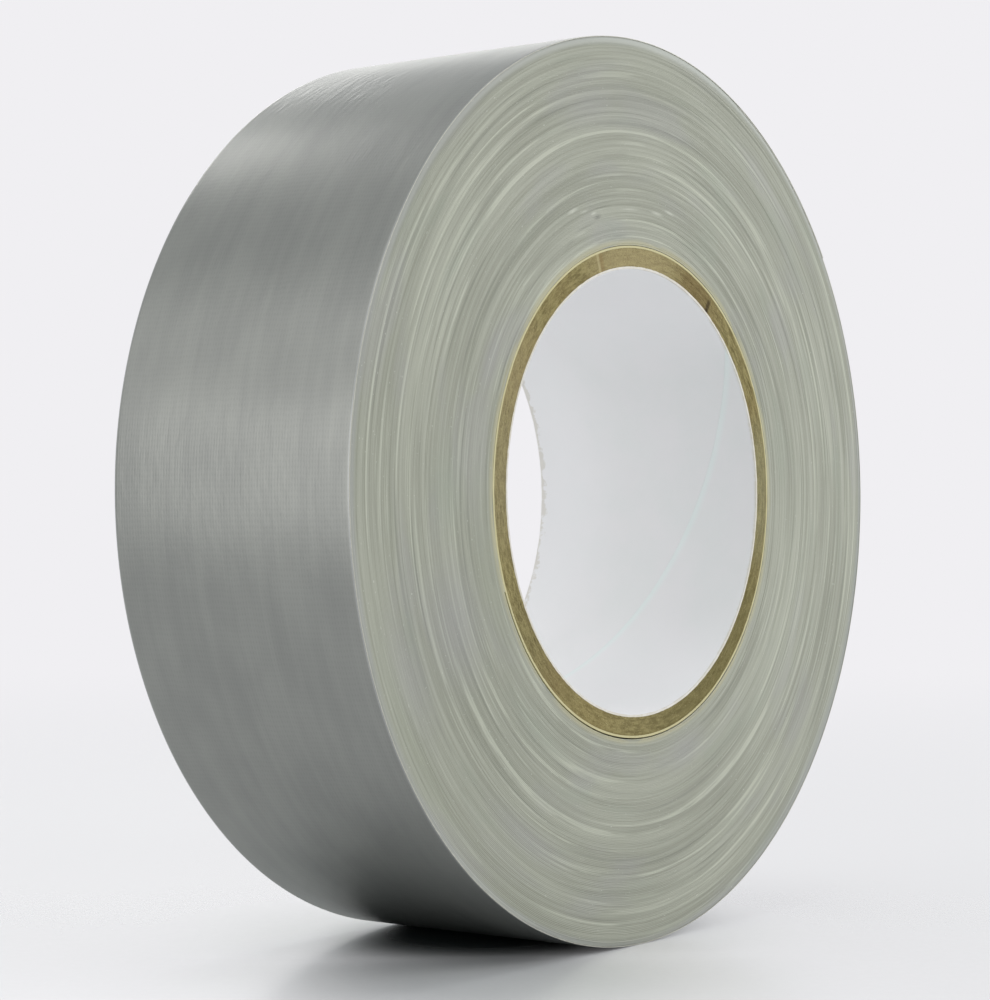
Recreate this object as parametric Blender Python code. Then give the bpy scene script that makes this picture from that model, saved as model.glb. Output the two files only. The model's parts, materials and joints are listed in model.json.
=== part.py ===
"""Duct tape roll: a spiral-wound paperboard core, a wound strip of silver cloth tape and its free end.

Metres, +Z up. The roll stands on its tread like a wheel. Its axis is +Y, the origin is the
centre of the core's bore half way across the tape, and the front side face looks along -Y.
Angles are measured about the axis in the XZ plane, from +X towards +Z.
"""

import math

import bmesh
import bpy
from mathutils import Vector

# ---------------------------------------------------------------- driving dimensions (metres)
CORE_BORE_R = 0.03810  # standard 3 inch core
CORE_WIDTH = 0.04830
LINER_T = 0.00030  # white paper inside the bore
PLY_T = 0.00059  # brown board
PLY_COUNT = 5
OUTER_PLY_T = 0.00025  # cream paper under the tape
GLUE_GAP = 0.00005  # glue line between one ply and the next
SEAM_LEAD = 0.09940  # every ply is wound at this lead, edge to edge
SEAM_GAP = 0.00030  # opening left between a ply's two edges

TAPE_WIDTH = 0.04850
ROLL_R = 0.07730  # at the free end's tip, the highest point of the spiral
TURN_T = 0.000264  # one thickness of tape
FILM_T = 0.000085  # silver polyethylene film
SCRIM_T = 0.000060  # woven cloth
ADHESIVE_T = 0.000070  # rubber adhesive
LAYER_GAP = 0.000015
CORE_CLEAR = 0.00005  # between the core and the first turn

# ---------------------------------------------------------------- layout about the axis (degrees)
TAPE_DIVISIONS = 96
CORE_DIVISIONS = 48
STEP = 360.0 / TAPE_DIVISIONS
PHASE = STEP / 2  # puts one flat facet exactly at the bottom
TIP = PHASE + 9 * STEP  # where the strip's cut end lies on the roll
LINKS = 4  # the free end is four short lengths, two facets each
LINK_STEPS = 2
ROOT = TIP + LINKS * LINK_STEPS * STEP  # where the free end leaves the roll
INNER_END = PHASE + 54 * STEP  # the strip's inner cut end, on the core
HINGE_GAP = 0.00030  # between neighbouring lengths of the free end
LINER_SEAM = 44.0  # angle of the liner's seam on the front face
PLY_SEAMS = (57.0, 212.0, 108.0, 331.0, 268.0)  # the same for the board plies, inside out
OUTER_SEAM = 148.0

# ---------------------------------------------------------------- finishes (sRGB 0-255, roughness, metallic)
FINISHES = {
    "liner_paper": ((214, 214, 212), 0.85, 0.0),
    "core_board": ((133, 121, 92), 0.90, 0.0),
    "cream_paper": ((196, 190, 158), 0.85, 0.0),
    "wound_tape": ((165, 167, 155), 0.70, 0.1),
    "silver_film": ((158, 163, 161), 0.38, 0.5),
    "cloth_scrim": ((205, 205, 198), 0.90, 0.0),
    "rubber_adhesive": ((176, 176, 164), 0.45, 0.0),
}


def clear_scene():
    for obj in list(bpy.data.objects):
        bpy.data.objects.remove(obj, do_unlink=True)


def linear(channel):
    c = channel / 255.0
    return c / 12.92 if c <= 0.04045 else ((c + 0.055) / 1.055) ** 2.4


def material(name):
    found = bpy.data.materials.get(name)
    if found:
        return found
    colour, roughness, metallic = FINISHES[name]
    made = bpy.data.materials.new(name)
    made.use_nodes = True
    shader = made.node_tree.nodes["Principled BSDF"]
    shader.inputs["Base Color"].default_value = (*map(linear, colour), 1.0)
    shader.inputs["Roughness"].default_value = roughness
    shader.inputs["Metallic"].default_value = metallic
    return made


def polar(radius, degrees, y):
    a = math.radians(degrees)
    return Vector((radius * math.cos(a), y, radius * math.sin(a)))


def finish_object(name, bm, finish, parent=None, origin=None):
    """Makes the object from the bmesh, shades its round walls smooth and puts its origin at the given point."""
    bmesh.ops.recalc_face_normals(bm, faces=bm.faces)
    if origin is not None:
        bmesh.ops.translate(bm, verts=bm.verts, vec=-origin)
    mesh = bpy.data.meshes.new(name)
    bm.to_mesh(mesh)
    bm.free()
    mesh.materials.append(material(finish))
    mesh.shade_smooth()
    mesh.set_sharp_from_angle(angle=math.radians(30))
    obj = bpy.data.objects.new(name, mesh)
    bpy.context.scene.collection.objects.link(obj)
    if parent is not None:
        obj.parent = parent
    elif origin is not None:
        obj.location = origin
    return obj


def extruded_band(stations, width, closed):
    """A band round the axis. Each station is (angle, inner radius, outer radius). The band's front side
    face is drawn at -Y and extruded across the width."""
    bm = bmesh.new()
    front = -width / 2
    inner = [bm.verts.new(polar(r0, a, front)) for a, r0, r1 in stations]
    outer = [bm.verts.new(polar(r1, a, front)) for a, r0, r1 in stations]
    count = len(stations)
    for i in range(count if closed else count - 1):
        j = (i + 1) % count
        bm.faces.new((inner[i], outer[i], outer[j], inner[j]))
    made = bmesh.ops.extrude_face_region(bm, geom=bm.faces[:])
    moved = [g for g in made["geom"] if isinstance(g, bmesh.types.BMVert)]
    bmesh.ops.translate(bm, verts=moved, vec=(0, width, 0))
    return bm


def grid(start, end, step=STEP):
    """Angles from start to end on the facet grid, both ends included."""
    count = max(1, round((end - start) / step))
    return [start + (end - start) * i / count for i in range(count + 1)]


# ---------------------------------------------------------------- the core
def seam_blade(name, inner_r, outer_r, front_angle):
    """A thin helical blade that opens one ply along its seam. It runs past both ends of the core."""
    past = 4.0  # degrees beyond each end
    rate = 360.0 / SEAM_LEAD  # degrees per metre across the core
    span = CORE_WIDTH * rate + 2 * past
    steps = int(span / (2 * 360.0 / CORE_DIVISIONS)) + 1
    half = SEAM_GAP / 2 / math.cos(math.atan(SEAM_LEAD / (2 * math.pi * inner_r)))
    bm = bmesh.new()
    rings = []
    for i in range(steps + 1):
        along = past - span * i / steps
        y = -CORE_WIDTH / 2 - along / rate
        rings.append(
            [
                bm.verts.new(polar(r, front_angle + along, y + dy))
                for r, dy in (
                    (inner_r - 0.0006, -half),
                    (outer_r + 0.0012, -half),
                    (outer_r + 0.0012, half),
                    (inner_r - 0.0006, half),
                )
            ]
        )
    for a, b in zip(rings, rings[1:]):
        for i in range(4):
            j = (i + 1) % 4
            bm.faces.new((a[i], a[j], b[j], b[i]))
    bm.faces.new(rings[0])
    bm.faces.new(reversed(rings[-1]))
    blade = finish_object(name, bm, "core_board")
    blade.hide_render = True
    blade.display_type = "WIRE"
    return blade


def core_ply(name, inner_r, outer_r, seam, finish):
    """One layer of the core: a strip wound edge to edge, so its seam runs round it as a helix."""
    turn = 360.0 / CORE_DIVISIONS
    stations = [(PHASE + turn * i, inner_r, outer_r) for i in range(CORE_DIVISIONS)]
    ply = finish_object(name, extruded_band(stations, CORE_WIDTH, True), finish)
    cut = ply.modifiers.new("seam", "BOOLEAN")
    cut.operation = "DIFFERENCE"
    cut.solver = "EXACT"
    cut.object = seam_blade(name + "_seam_blade", inner_r, outer_r, seam)
    return ply


def build_core():
    r = CORE_BORE_R
    core_ply("core_liner", r, r + LINER_T, LINER_SEAM, "liner_paper")
    r += LINER_T + GLUE_GAP
    for i in range(PLY_COUNT):
        core_ply(f"core_ply_{i + 1}", r, r + PLY_T, PLY_SEAMS[i], "core_board")
        r += PLY_T + GLUE_GAP
    core_ply("core_outer_ply", r, r + OUTER_PLY_T, OUTER_SEAM, "cream_paper")
    return r + OUTER_PLY_T


# ---------------------------------------------------------------- the wound tape
def spiral(angle):
    """Outer radius of the outermost turn, for angles from the tip round to one turn further on."""
    return ROLL_R - TURN_T * (angle - TIP) / 360.0


def build_windings(core_r):
    """The first turn lies on the core. The rest of the strip is one block, held together by its adhesive.
    The block starts where the strip climbs over its own inner end, and its outer surface steps down
    by one thickness where the outermost turn leaves it."""
    first_in = core_r + CORE_CLEAR
    first_out = first_in + TURN_T - LAYER_GAP
    lip = 0.20
    angles = grid(INNER_END, INNER_END + 360.0, 2 * STEP)
    angles[0] += 4 * lip
    angles[-1] -= 3 * lip
    stations = [(a, first_in, first_out) for a in angles]
    finish_object(
        "tape_first_turn", extruded_band(stations, TAPE_WIDTH, False), "wound_tape"
    )

    pack_in = first_in + TURN_T
    tongue = (
        (INNER_END - 1.5 * lip, pack_in),
        (INNER_END - lip, first_in + LAYER_GAP),
        (INNER_END + 2 * lip, first_in + LAYER_GAP),
        (INNER_END + 2.5 * lip, pack_in),
    )
    angles = grid(TIP, TIP + 360.0)
    angles[-1] -= 0.05
    turned = [(a + 360.0 if a < TIP else a, r) for a, r in tongue]
    low, high = turned[0][0], turned[-1][0]
    inner = [(a, pack_in) for a in angles if not low <= a <= high] + turned
    stations = [
        (a, r, spiral(a) - TURN_T) for a, r in sorted(inner, key=lambda s: s[0])
    ]
    finish_object(
        "tape_windings", extruded_band(stations, TAPE_WIDTH, True), "wound_tape"
    )


LAYERS = (
    ("film", 0.0, FILM_T, "silver_film"),
    ("scrim", FILM_T + LAYER_GAP, SCRIM_T, "cloth_scrim"),
    ("adhesive", FILM_T + SCRIM_T + 2 * LAYER_GAP, ADHESIVE_T, "rubber_adhesive"),
)


def strip(name, start, end, depth, thickness, finish, parent=None, origin=None):
    """One layer of the outermost turn between two angles."""
    stations = [
        (a, spiral(a) - depth - thickness, spiral(a) - depth) for a in grid(start, end)
    ]
    return finish_object(
        name, extruded_band(stations, TAPE_WIDTH, False), finish, parent, origin
    )


def build_outer_turn():
    half_gap = math.degrees(HINGE_GAP / 2 / ROLL_R)
    for layer, depth, thickness, finish in LAYERS:
        strip(
            f"outer_turn_{layer}",
            ROOT + half_gap,
            TIP + 360.0 - half_gap,
            depth,
            thickness,
            finish,
        )


def build_free_end():
    """The strip's last 40 mm. Each length turns about a line across the tape, on the film's outer surface
    where it meets the length before it, so the layers below open as it lifts."""
    half_gap = math.degrees(HINGE_GAP / 2 / ROLL_R)
    parent = None
    for i in range(LINKS):
        near = ROOT - i * LINK_STEPS * STEP
        far = near - LINK_STEPS * STEP
        pivot = polar(spiral(near), near, 0.0)
        hinge = bpy.data.objects.new(f"peel_axis_{i + 1}", None)
        hinge.empty_display_size = 0.01
        bpy.context.scene.collection.objects.link(hinge)
        if parent is None:
            hinge.location = pivot
        else:
            hinge.parent = parent
            hinge.location = pivot - last_pivot
        for layer, depth, thickness, finish in LAYERS:
            strip(
                f"free_end_{i + 1}_{layer}",
                far + (half_gap if i < LINKS - 1 else 0.0),
                near - half_gap,
                depth,
                thickness,
                finish,
                hinge,
                pivot,
            )
        parent, last_pivot = hinge, pivot


clear_scene()
core_outer_r = build_core()
build_windings(core_outer_r)
build_outer_turn()
build_free_end()
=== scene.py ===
"""Looks of the duct tape roll: the wound strip with every turn's edge, its outermost turn and free end layer by
layer, the board core ply by ply, and a plain studio round them.

Metres, +Z up. The roll stands on its rim with its axis along Y, and its front face is the -Y one. Angles are in
degrees from +X towards +Z. From the free end's tip the strip winds inwards as the angle grows."""

import json
import math

import bpy
import numpy as np
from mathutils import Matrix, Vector


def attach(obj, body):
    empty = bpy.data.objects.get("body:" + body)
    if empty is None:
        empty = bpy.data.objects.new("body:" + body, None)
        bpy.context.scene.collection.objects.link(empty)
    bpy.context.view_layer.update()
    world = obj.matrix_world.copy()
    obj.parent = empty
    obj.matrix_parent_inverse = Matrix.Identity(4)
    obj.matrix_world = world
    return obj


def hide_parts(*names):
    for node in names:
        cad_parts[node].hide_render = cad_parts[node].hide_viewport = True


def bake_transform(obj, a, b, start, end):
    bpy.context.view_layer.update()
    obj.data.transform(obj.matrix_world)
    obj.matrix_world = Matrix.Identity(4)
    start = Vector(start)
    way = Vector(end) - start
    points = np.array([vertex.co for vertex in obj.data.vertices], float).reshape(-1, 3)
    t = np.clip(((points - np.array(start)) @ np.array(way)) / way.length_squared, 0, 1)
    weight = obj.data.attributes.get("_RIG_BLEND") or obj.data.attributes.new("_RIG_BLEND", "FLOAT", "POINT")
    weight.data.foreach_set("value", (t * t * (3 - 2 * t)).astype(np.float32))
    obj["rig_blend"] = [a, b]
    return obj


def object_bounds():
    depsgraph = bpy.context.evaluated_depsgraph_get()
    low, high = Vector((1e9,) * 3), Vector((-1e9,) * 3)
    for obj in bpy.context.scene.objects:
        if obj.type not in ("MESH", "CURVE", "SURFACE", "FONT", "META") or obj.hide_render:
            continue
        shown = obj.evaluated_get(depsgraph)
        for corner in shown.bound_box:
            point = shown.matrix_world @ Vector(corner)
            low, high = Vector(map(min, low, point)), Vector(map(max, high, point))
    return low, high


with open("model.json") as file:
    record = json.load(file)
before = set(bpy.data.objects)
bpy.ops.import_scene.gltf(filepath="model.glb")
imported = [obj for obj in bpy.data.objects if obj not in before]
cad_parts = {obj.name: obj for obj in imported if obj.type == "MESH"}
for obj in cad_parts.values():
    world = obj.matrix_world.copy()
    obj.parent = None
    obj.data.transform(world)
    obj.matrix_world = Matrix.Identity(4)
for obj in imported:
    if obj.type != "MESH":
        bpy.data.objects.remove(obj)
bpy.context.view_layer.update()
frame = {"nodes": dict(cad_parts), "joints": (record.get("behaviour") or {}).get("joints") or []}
MM = 0.001
RNG = np.random.default_rng(20)


# ---------------------------------------------------------------- measures read from the frame
def rings_of(node):
    """Angles (0 to 360), radii and y of a CAD node's vertices."""
    co = np.array([vertex.co for vertex in frame["nodes"][node].data.vertices], float)
    return (
        np.degrees(np.arctan2(co[:, 2], co[:, 0])) % 360.0,
        np.hypot(co[:, 0], co[:, 2]),
        co[:, 1],
    )


def joint(name):
    return next(j for j in frame["joints"] if j["name"] == name)


# The free end is four links, hinged one after the other from its root on the roll.
JOINTS = [joint(name) for name in ("peel_root", "peel_bend_2", "peel_bend_3", "peel_bend_4")]
PIVOTS = [Vector(j["origin_m"] if "origin_m" in j else j["pos_m"]) for j in JOINTS]
BODIES = ["roll"] + [j["child"] for j in JOINTS]
HINGES = [math.degrees(math.atan2(pivot.z, pivot.x)) for pivot in PIVOTS]
ROOT = HINGES[0]
LINK = HINGES[0] - HINGES[1]  # degrees one link spans
TIP = HINGES[3] - LINK

ROLL_RADIUS = rings_of("free_end_4_film")[1].max()
TURN_DROP = (ROLL_RADIUS - PIVOTS[0].xz.length) * 360.0 / (ROOT - TIP)  # radius lost in a turn
HALF_WIDTH = rings_of("outer_turn_film")[2].max()
CORE_HALF = rings_of("core_liner")[2].max()
FIRST_RADII = rings_of("tape_first_turn")[1]
FIRST_OUT = FIRST_RADII.max()
TAPE_THICK = FIRST_OUT - FIRST_RADII.min()

# The same in millimetres, as plain floats so that material sums can start with them.
ROLL_MM = float(ROLL_RADIUS / MM)
HALF_MM = float(HALF_WIDTH / MM)
CORE_MM = float(CORE_HALF / MM)


def layer_depths(layer):
    """How far a layer's top and bottom lie below the strip's outer surface."""
    angle, radius, _ = rings_of(f"free_end_4_{layer}")
    at_tip = radius[np.abs(angle - TIP) < 0.1]
    return ROLL_RADIUS - at_tip.max(), ROLL_RADIUS - at_tip.min()


FILM, SCRIM, GLUE = (layer_depths(layer) for layer in ("film", "scrim", "adhesive"))
THREADS = 84  # lengthwise threads across the tape
WARP = 2 * HALF_WIDTH / THREADS  # pitch of the lengthwise threads
WEFT = 0.90 * MM  # pitch of the crosswise threads

SEAMS = {  # where each ply's seam meets the front end
    "core_liner": 44.0,
    "core_ply_1": 57.0,
    "core_ply_2": 212.0,
    "core_ply_3": 108.0,
    "core_ply_4": 331.0,
    "core_ply_5": 268.0,
    "core_outer_ply": 148.0,
}
SEAM_RATE = 360.0 / 99.4  # degrees of seam per millimetre across the core


def spiral(angle):
    """Outer radius of the strip, for angles from the tip on round."""
    return ROLL_RADIUS - TURN_DROP * (angle - TIP) / 360.0


# ---------------------------------------------------------------- noise for shapes
def hashed(cell_x, cell_y, cell_z, seed):
    """A fixed random number in -1 to 1 for each whole-number cell."""
    bits = (cell_x * 73856093) ^ (cell_y * 19349663) ^ (cell_z * 83492791) ^ (seed * 40503 + 977)
    for _ in range(2):
        bits = ((bits ^ (bits >> 16)) * 0x45D9F3B) & 0xFFFFFFFF
    bits = bits ^ (bits >> 16)
    return bits / 2147483647.5 - 1.0


def noise(x, y, z, seed):
    """Smooth value noise in -1 to 1 of arrays of coordinates."""
    places = np.broadcast_arrays(*(np.asarray(values, float) for values in (x, y, z)))
    cells = [np.floor(place).astype(np.int64) for place in places]
    parts = [place - cell for place, cell in zip(places, cells)]
    eased = [part * part * (3 - 2 * part) for part in parts]
    total = 0.0
    for corner in np.ndindex(2, 2, 2):
        weight = 1.0
        for step, ease in zip(corner, eased):
            weight = weight * (ease if step else 1 - ease)
        total = total + weight * hashed(*(cell + step for cell, step in zip(cells, corner)), seed)
    return total


def round_noise(angle, across, along_scale, seed):
    """Noise that closes on itself round the axis. across is already in its own units."""
    turned = np.radians(angle)
    return noise(
        np.cos(turned) * along_scale + 31.3, np.sin(turned) * along_scale + 17.9, across, seed
    )


# ---------------------------------------------------------------- meshes
def polar(radius, angle, y):
    radius, turned, y = np.broadcast_arrays(radius, np.radians(angle), y)
    return np.stack([radius * np.cos(turned), y, radius * np.sin(turned)], axis=-1)


def build(name, points, quads, others=(), materials=(), kinds=None, uv=None):
    """A smooth mesh object from arrays. quads is (n, 4); others lists faces with other corner counts; kinds gives
    each face's material; uv is one pair a vertex."""
    points = np.asarray(points, np.float32).reshape(-1, 3)
    quads = np.asarray(quads, np.int32).reshape(-1, 4)
    sizes = [4] * len(quads) + [len(face) for face in others]
    loops = np.concatenate(
        [quads.ravel()] + [np.asarray(face, np.int32) for face in others]
    ).astype(np.int32)
    starts = np.concatenate([[0], np.cumsum(sizes)[:-1]]).astype(np.int32)
    mesh = bpy.data.meshes.new(name)
    mesh.vertices.add(len(points))
    mesh.vertices.foreach_set("co", points.ravel())
    mesh.loops.add(len(loops))
    mesh.loops.foreach_set("vertex_index", loops)
    mesh.polygons.add(len(sizes))
    mesh.polygons.foreach_set("loop_start", starts)
    for material in materials:
        mesh.materials.append(material)
    if kinds is not None:
        mesh.polygons.foreach_set("material_index", np.asarray(kinds, np.int32))
    mesh.polygons.foreach_set("use_smooth", np.full(len(sizes), True))
    mesh.update(calc_edges=True)
    if uv is not None:
        layer = mesh.uv_layers.new(name="strip")
        layer.data.foreach_set("uv", np.asarray(uv, np.float32)[loops].ravel())
    mesh.validate()
    mesh.set_sharp_from_angle(angle=math.radians(38))
    obj = bpy.data.objects.new(name, mesh)
    bpy.context.scene.collection.objects.link(obj)
    return obj


def swept(name, rings, uv, top_rows, bottom_rows, material):
    """A thin closed sheet. Each ring is one cross-section: top_rows points across the top from front to back,
    then bottom_rows points across the bottom from back to front."""
    at = np.arange(rings.shape[0] * rings.shape[1]).reshape(rings.shape[:2])
    beside = np.roll(at, -1, axis=1)
    quads = np.stack([at[:-1], at[1:], beside[1:], beside[:-1]], axis=-1).reshape(-1, 4)
    caps = []
    share = (top_rows - 1) // (bottom_rows - 1)
    for ring, is_last in ((at[0], False), (at[-1], True)):
        top, low = ring[:top_rows], ring[top_rows:][::-1]
        for k in range(bottom_rows - 1):
            stop = top_rows if k == bottom_rows - 2 else (k + 1) * share + 1
            face = [low[k], low[k + 1]] + list(top[k * share : stop][::-1])
            caps.append(face if is_last else face[::-1])
    return build(
        name,
        rings,
        quads,
        caps,
        (material,),
        kinds=np.zeros(len(quads) + len(caps)),
        uv=uv.reshape(-1, 2),
    )


def block(name, grid, materials, inner_kind=0, uv=None):
    """A closed six-sided block from a grid of points (along, across, through). through runs from the inner face
    to the outer one. inner_kind is the inner face's material number; the others have the first material."""
    keep = np.zeros(grid.shape[:3], bool)
    for axis in range(3):
        for end in (0, -1):
            index = [slice(None)] * 3
            index[axis] = end
            keep[tuple(index)] = True
    number = np.cumsum(keep.ravel()).reshape(keep.shape) - 1
    faces, kinds = [], []
    along, across, through = (grid[i] - grid[0, 0, 0] for i in ((1, 0, 0), (0, 1, 0), (0, 0, 1)))
    mirrored = np.dot(np.cross(along, across), through) < 0

    def side(ids, inward, kind=0):
        corners = [ids[:-1, :-1], ids[1:, :-1], ids[1:, 1:], ids[:-1, 1:]]
        if inward != mirrored:
            corners = [corners[k] for k in (0, 3, 2, 1)]
        faces.append(np.stack(corners, axis=-1).reshape(-1, 4))
        kinds.append(np.full(len(faces[-1]), kind))

    side(number[:, :, -1], False)
    side(number[:, :, 0], True, inner_kind)
    side(number[:, 0, :], False)
    side(number[:, -1, :], True)
    side(number[0, :, :], True)
    side(number[-1, :, :], False)
    return build(
        name,
        grid[keep],
        np.concatenate(faces),
        materials=materials,
        kinds=np.concatenate(kinds),
        uv=None if uv is None else uv[keep],
    )


def stand_in(piece, node):
    """Lets a piece that turns with the roll replace a CAD node."""
    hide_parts(node)
    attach(piece, "roll")


# ---------------------------------------------------------------- material tools
def srgb(*rgb):
    def linear(level):
        level /= 255.0
        return level / 12.92 if level <= 0.04045 else ((level + 0.055) / 1.055) ** 2.4

    return (*(linear(level) for level in rgb), 1.0)


def plug(socket, value):
    """Links a Value to an input, or sets the input to a plain value."""
    if isinstance(value, Value):
        value.tree.links.new(value.socket, socket)
    else:
        socket.default_value = value


class Value:
    """An output socket. Arithmetic on it makes Math nodes."""

    def __init__(self, tree, socket):
        self.tree, self.socket = tree, socket

    def node(self, operation, first, second=0.0):
        node = self.tree.nodes.new("ShaderNodeMath")
        node.operation = operation
        for socket, value in zip(node.inputs, (first, second, 0.0)):
            plug(socket, value)
        return Value(self.tree, node.outputs[0])

    def apply(self, operation, other=0.0):
        return self.node(operation, self, other)

    def __add__(self, other):
        return self.node("ADD", self, other)

    def __radd__(self, other):
        return self.node("ADD", other, self)

    def __sub__(self, other):
        """Taking away a plain number adds its negative."""
        if isinstance(other, Value):
            return self.node("SUBTRACT", self, other)
        return self + -other

    def __rsub__(self, other):
        return self.node("SUBTRACT", other, self)

    def __mul__(self, other):
        return self.node("MULTIPLY", self, other)

    def __rmul__(self, other):
        return self.node("MULTIPLY", other, self)

    def __truediv__(self, other):
        return self.node("DIVIDE", self, other)

    def __abs__(self):
        return self.apply("ABSOLUTE")

    def span(self, low, high, to_low=0.0, to_high=1.0):
        """The value eased from low..high to to_low..to_high, held outside."""
        node = self.tree.nodes.new("ShaderNodeMapRange")
        node.interpolation_type = "SMOOTHSTEP"
        node.clamp = True
        for socket, value in zip(node.inputs, (self, low, high, to_low, to_high)):
            plug(socket, value)
        return Value(self.tree, node.outputs[0])


def highest(first, *others):
    for other in others:
        first = first.apply("MAXIMUM", other)
    return first


class Paint:
    """A node material with short names for the nodes it uses."""

    def __init__(self, name):
        self.material = bpy.data.materials.new(name)
        self.material.use_nodes = True
        self.tree = self.material.node_tree

    def output(self, node, key=0):
        return Value(self.tree, node.outputs[key])

    def finish(self, bumps=(), **inputs):
        """Sets the shader's inputs. bumps are (height, distance in metres), each laid over the one before."""
        normal = None
        for height, distance in bumps:
            node = self.tree.nodes.new("ShaderNodeBump")
            node.inputs["Strength"].default_value = 1.0
            node.inputs["Distance"].default_value = distance
            plug(node.inputs["Height"], height)
            if normal is not None:
                plug(node.inputs["Normal"], normal)
            normal = self.output(node)
        if normal is not None:
            inputs["Normal"] = normal
        shader = self.tree.nodes["Principled BSDF"]
        for name, value in inputs.items():
            plug(shader.inputs[name.replace("_", " ")], value)
        return self.material

    def split(self, vector):
        node = self.tree.nodes.new("ShaderNodeSeparateXYZ")
        plug(node.inputs[0], vector)
        return [self.output(node, k) for k in range(3)]

    def join(self, parts):
        node = self.tree.nodes.new("ShaderNodeCombineXYZ")
        for socket, value in zip(node.inputs, parts):
            plug(socket, value)
        return self.output(node)

    def noise(self, vector, scale=1.0, detail=2.0, rough=0.5):
        """Noise at a vector, or at a tuple of its three parts."""
        if isinstance(vector, tuple):
            vector = self.join(vector)
        node = self.tree.nodes.new("ShaderNodeTexNoise")
        plug(node.inputs["Vector"], vector)
        node.inputs["Scale"].default_value = scale
        node.inputs["Detail"].default_value = detail
        node.inputs["Roughness"].default_value = rough
        return self.output(node, "Fac")

    def mix(self, factor, base, over):
        node = self.tree.nodes.new("ShaderNodeMix")
        node.data_type = "RGBA"
        node.clamp_factor = True
        for index, value in ((0, factor), (6, base), (7, over)):
            plug(node.inputs[index], value)
        return self.output(node, 2)

    def tint(self, colour, mask, over, amount):
        """Lays a colour over another where mask is high."""
        return self.mix(mask * amount, colour, over)

    def place(self):
        """Position in the row frame, in millimetres."""
        node = self.tree.nodes.new("ShaderNodeTexCoord")
        scale = self.tree.nodes.new("ShaderNodeVectorMath")
        scale.operation = "SCALE"
        plug(scale.inputs[0], self.output(node, "Object"))
        scale.inputs["Scale"].default_value = 1000.0
        return self.output(scale)

    def round(self):
        """Cosine, sine, radius in mm and y in mm of a point about the roll's axis."""
        x, y, z = self.split(self.place())
        radius = (x * x + (z * z + 1e-6)).apply("SQRT")
        return x / radius, z / radius, radius, y

    def strip(self):
        """Millimetres along the strip from its tip, and across it from its middle."""
        node = self.tree.nodes.new("ShaderNodeUVMap")
        node.uv_map = "strip"
        along, across, _ = self.split(self.output(node))
        return along * 1000.0, across * 1000.0


def weave(paint, along, across):
    """Heights of the lengthwise and the crosswise threads under the film, 0 to 1 each."""
    wander = paint.noise((along * 0.05, across * 0.35, 0.0))

    def threads(position, pitch, sway):
        phase = (position * (1.0 / (pitch / MM)) + wander * sway) * (2 * math.pi)
        return phase.apply("SINE") * 0.5 + 0.5

    return threads(across, WARP, sway=0.5), threads(along, WEFT, sway=0.9)


# ---------------------------------------------------------------- tape materials
FILM_DARK, FILM_PALE = srgb(143, 144, 141), srgb(153, 154, 150)
FILM_ROUGH, FILM_METAL = 0.31, 0.75
PUCKER_AT = math.radians(119.0 - TIP) * ROLL_MM  # where the film has slight puckers


def film_material():
    paint = Paint("silver_film")
    along, across = paint.strip()
    warp, weft = weave(paint, along, across)
    streak = paint.noise((along * 0.012, across * 0.40, 3.0), detail=3.0)
    fine = paint.noise((along * 0.10, across * 3.2, 9.0), detail=3.0, rough=0.6)
    cloud = paint.noise((along * 0.07, across * 0.11, 5.0), detail=3.0)
    grain = paint.noise((along, across, 0.0), scale=5.0, rough=0.6)
    tone = streak * 0.38 + fine * 0.10 + cloud * 0.52
    colour = paint.mix(tone.span(0.34, 0.66), FILM_DARK, FILM_PALE)
    # Painted shade: the film is darker over the hollows between the threads under it.
    hollow_shade = (warp * 0.6 + weft * 0.4).span(0.0, 0.45, 1.0, 0.0)
    colour = paint.tint(colour, hollow_shade, srgb(96, 98, 98), amount=0.10)
    # A paler band along both sides of the film: partly wear, partly a painted highlight on its rounded sides.
    edge = abs(across).span(HALF_MM - 0.45, HALF_MM - 0.10)
    colour = paint.tint(colour, edge, srgb(198, 199, 199), amount=0.50)
    lumps = paint.noise((along * 0.35, across * 0.9, 1.0), detail=3.0)
    glints = paint.noise((along * 0.16, across * 0.85, 12.0))
    puckered = abs(along - PUCKER_AT).span(14.0, 5.0) * across.span(-9.0, 3.0)
    lumps = lumps + glints * puckered * 2.6
    ribs = warp * 0.65 + weft * 0.35
    return paint.finish(
        bumps=((lumps, 0.00003), (ribs, 0.000007), (grain, 0.0000022)),
        Base_Color=colour,
        Roughness=FILM_ROUGH + ((fine - 0.5) * 0.08 + (grain - 0.5) * 0.08),
        Metallic=FILM_METAL,
        Specular_IOR_Level=0.5,
    )


EDGE_DARK, EDGE_PALE = srgb(143, 145, 131), srgb(166, 168, 154)
# The lit colour is a painted highlight. The nick colour serves both for real nicks and for painted shade.
EDGE_LIT, EDGE_NICK_AND_SHADE, EDGE_RIM = srgb(192, 195, 179), srgb(122, 125, 113), srgb(166, 167, 166)
EDGE_LILAC, EDGE_GREEN = srgb(154, 153, 154), srgb(147, 156, 141)
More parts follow.
